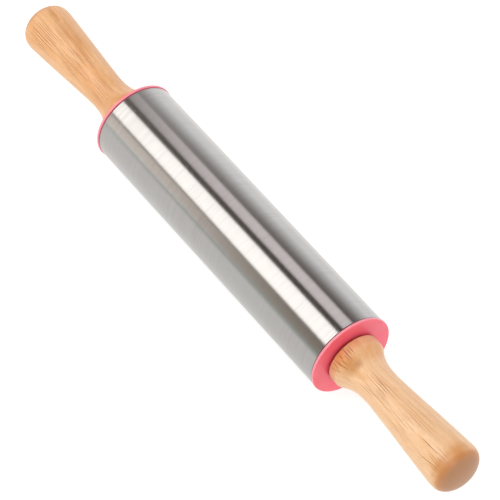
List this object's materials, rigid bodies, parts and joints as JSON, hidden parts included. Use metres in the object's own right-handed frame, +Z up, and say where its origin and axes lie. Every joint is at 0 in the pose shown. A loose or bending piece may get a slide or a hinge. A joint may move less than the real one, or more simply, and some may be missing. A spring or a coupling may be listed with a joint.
{
  "type": "rolling pin",
  "caption": "Revolving rolling pin: a brushed stainless barrel with pink end caps turns on ball bearings between turned wooden handles.",
  "frame": {"origin": "middle of the pin, on the axis of the barrel", "axes": "+X along the pin towards the right handle, +Z up, away from the surface that the pin lies on"},
  "size_m": [0.4, 0.0506, 0.0506],
  "materials": {
    "barrel_steel": "brushed round the barrel, satin",
    "cap_plastic": "moulded coral pink, satin",
    "handle_wood": "turned, sanded and clear lacquered",
    "axle_steel": "bright drawn",
    "bearing_steel": "ground",
    "ball_steel": "polished",
    "shield_steel": "pressed sheet",
    "cage_nylon": "moulded",
    "zinc_steel": "zinc plated",
    "spring_steel": "phosphated black",
    "insert_brass": "turned"
  },
  "bodies": {
    "handles": {"axle_rod": "axle_steel", "handle_left": "handle_wood", "threaded_insert_left": "insert_brass", "clamp_washer_left": "zinc_steel", "spacer_sleeve_left": "zinc_steel", "retaining_ring_left": "spring_steel", "bearing_inner_ring_left": "bearing_steel", "handle_right": "handle_wood", "threaded_insert_right": "insert_brass", "clamp_washer_right": "zinc_steel", "spacer_sleeve_right": "zinc_steel", "retaining_ring_right": "spring_steel", "bearing_inner_ring_right": "bearing_steel"},
    "roller": {"barrel_tube": "barrel_steel", "end_cap_left": "cap_plastic", "bearing_outer_ring_left": "bearing_steel", "bearing_shield_outboard_left": "shield_steel", "bearing_shield_inboard_left": "shield_steel", "end_cap_right": "cap_plastic", "bearing_outer_ring_right": "bearing_steel", "bearing_shield_outboard_right": "shield_steel", "bearing_shield_inboard_right": "shield_steel"},
    "left_cage": {"bearing_cage_left": "cage_nylon", "bearing_ball_left_1": "ball_steel", "bearing_ball_left_2": "ball_steel", "bearing_ball_left_3": "ball_steel", "bearing_ball_left_4": "ball_steel", "bearing_ball_left_5": "ball_steel", "bearing_ball_left_6": "ball_steel", "bearing_ball_left_7": "ball_steel"},
    "right_cage": {"bearing_cage_right": "cage_nylon", "bearing_ball_right_1": "ball_steel", "bearing_ball_right_2": "ball_steel", "bearing_ball_right_3": "ball_steel", "bearing_ball_right_4": "ball_steel", "bearing_ball_right_5": "ball_steel", "bearing_ball_right_6": "ball_steel", "bearing_ball_right_7": "ball_steel"}
  },
  "joints": [
    {"name": "barrel_spin", "type": "hinge", "parent": "handles", "child": "roller", "pos_m": [0, 0, 0], "axis": [1, 0, 0], "continuous": true},
    {"name": "left_cage_spin", "type": "hinge", "parent": "handles", "child": "left_cage", "pos_m": [-0.0973, 0, 0], "axis": [1, 0, 0], "continuous": true},
    {"name": "right_cage_spin", "type": "hinge", "parent": "handles", "child": "right_cage", "pos_m": [0.0973, 0, 0], "axis": [1, 0, 0], "continuous": true}
  ],
  "couplings": [
    {"joint": "left_cage_spin", "follows": "barrel_spin", "ratio": 0.63245},
    {"joint": "right_cage_spin", "follows": "barrel_spin", "ratio": 0.63245}
  ]
}
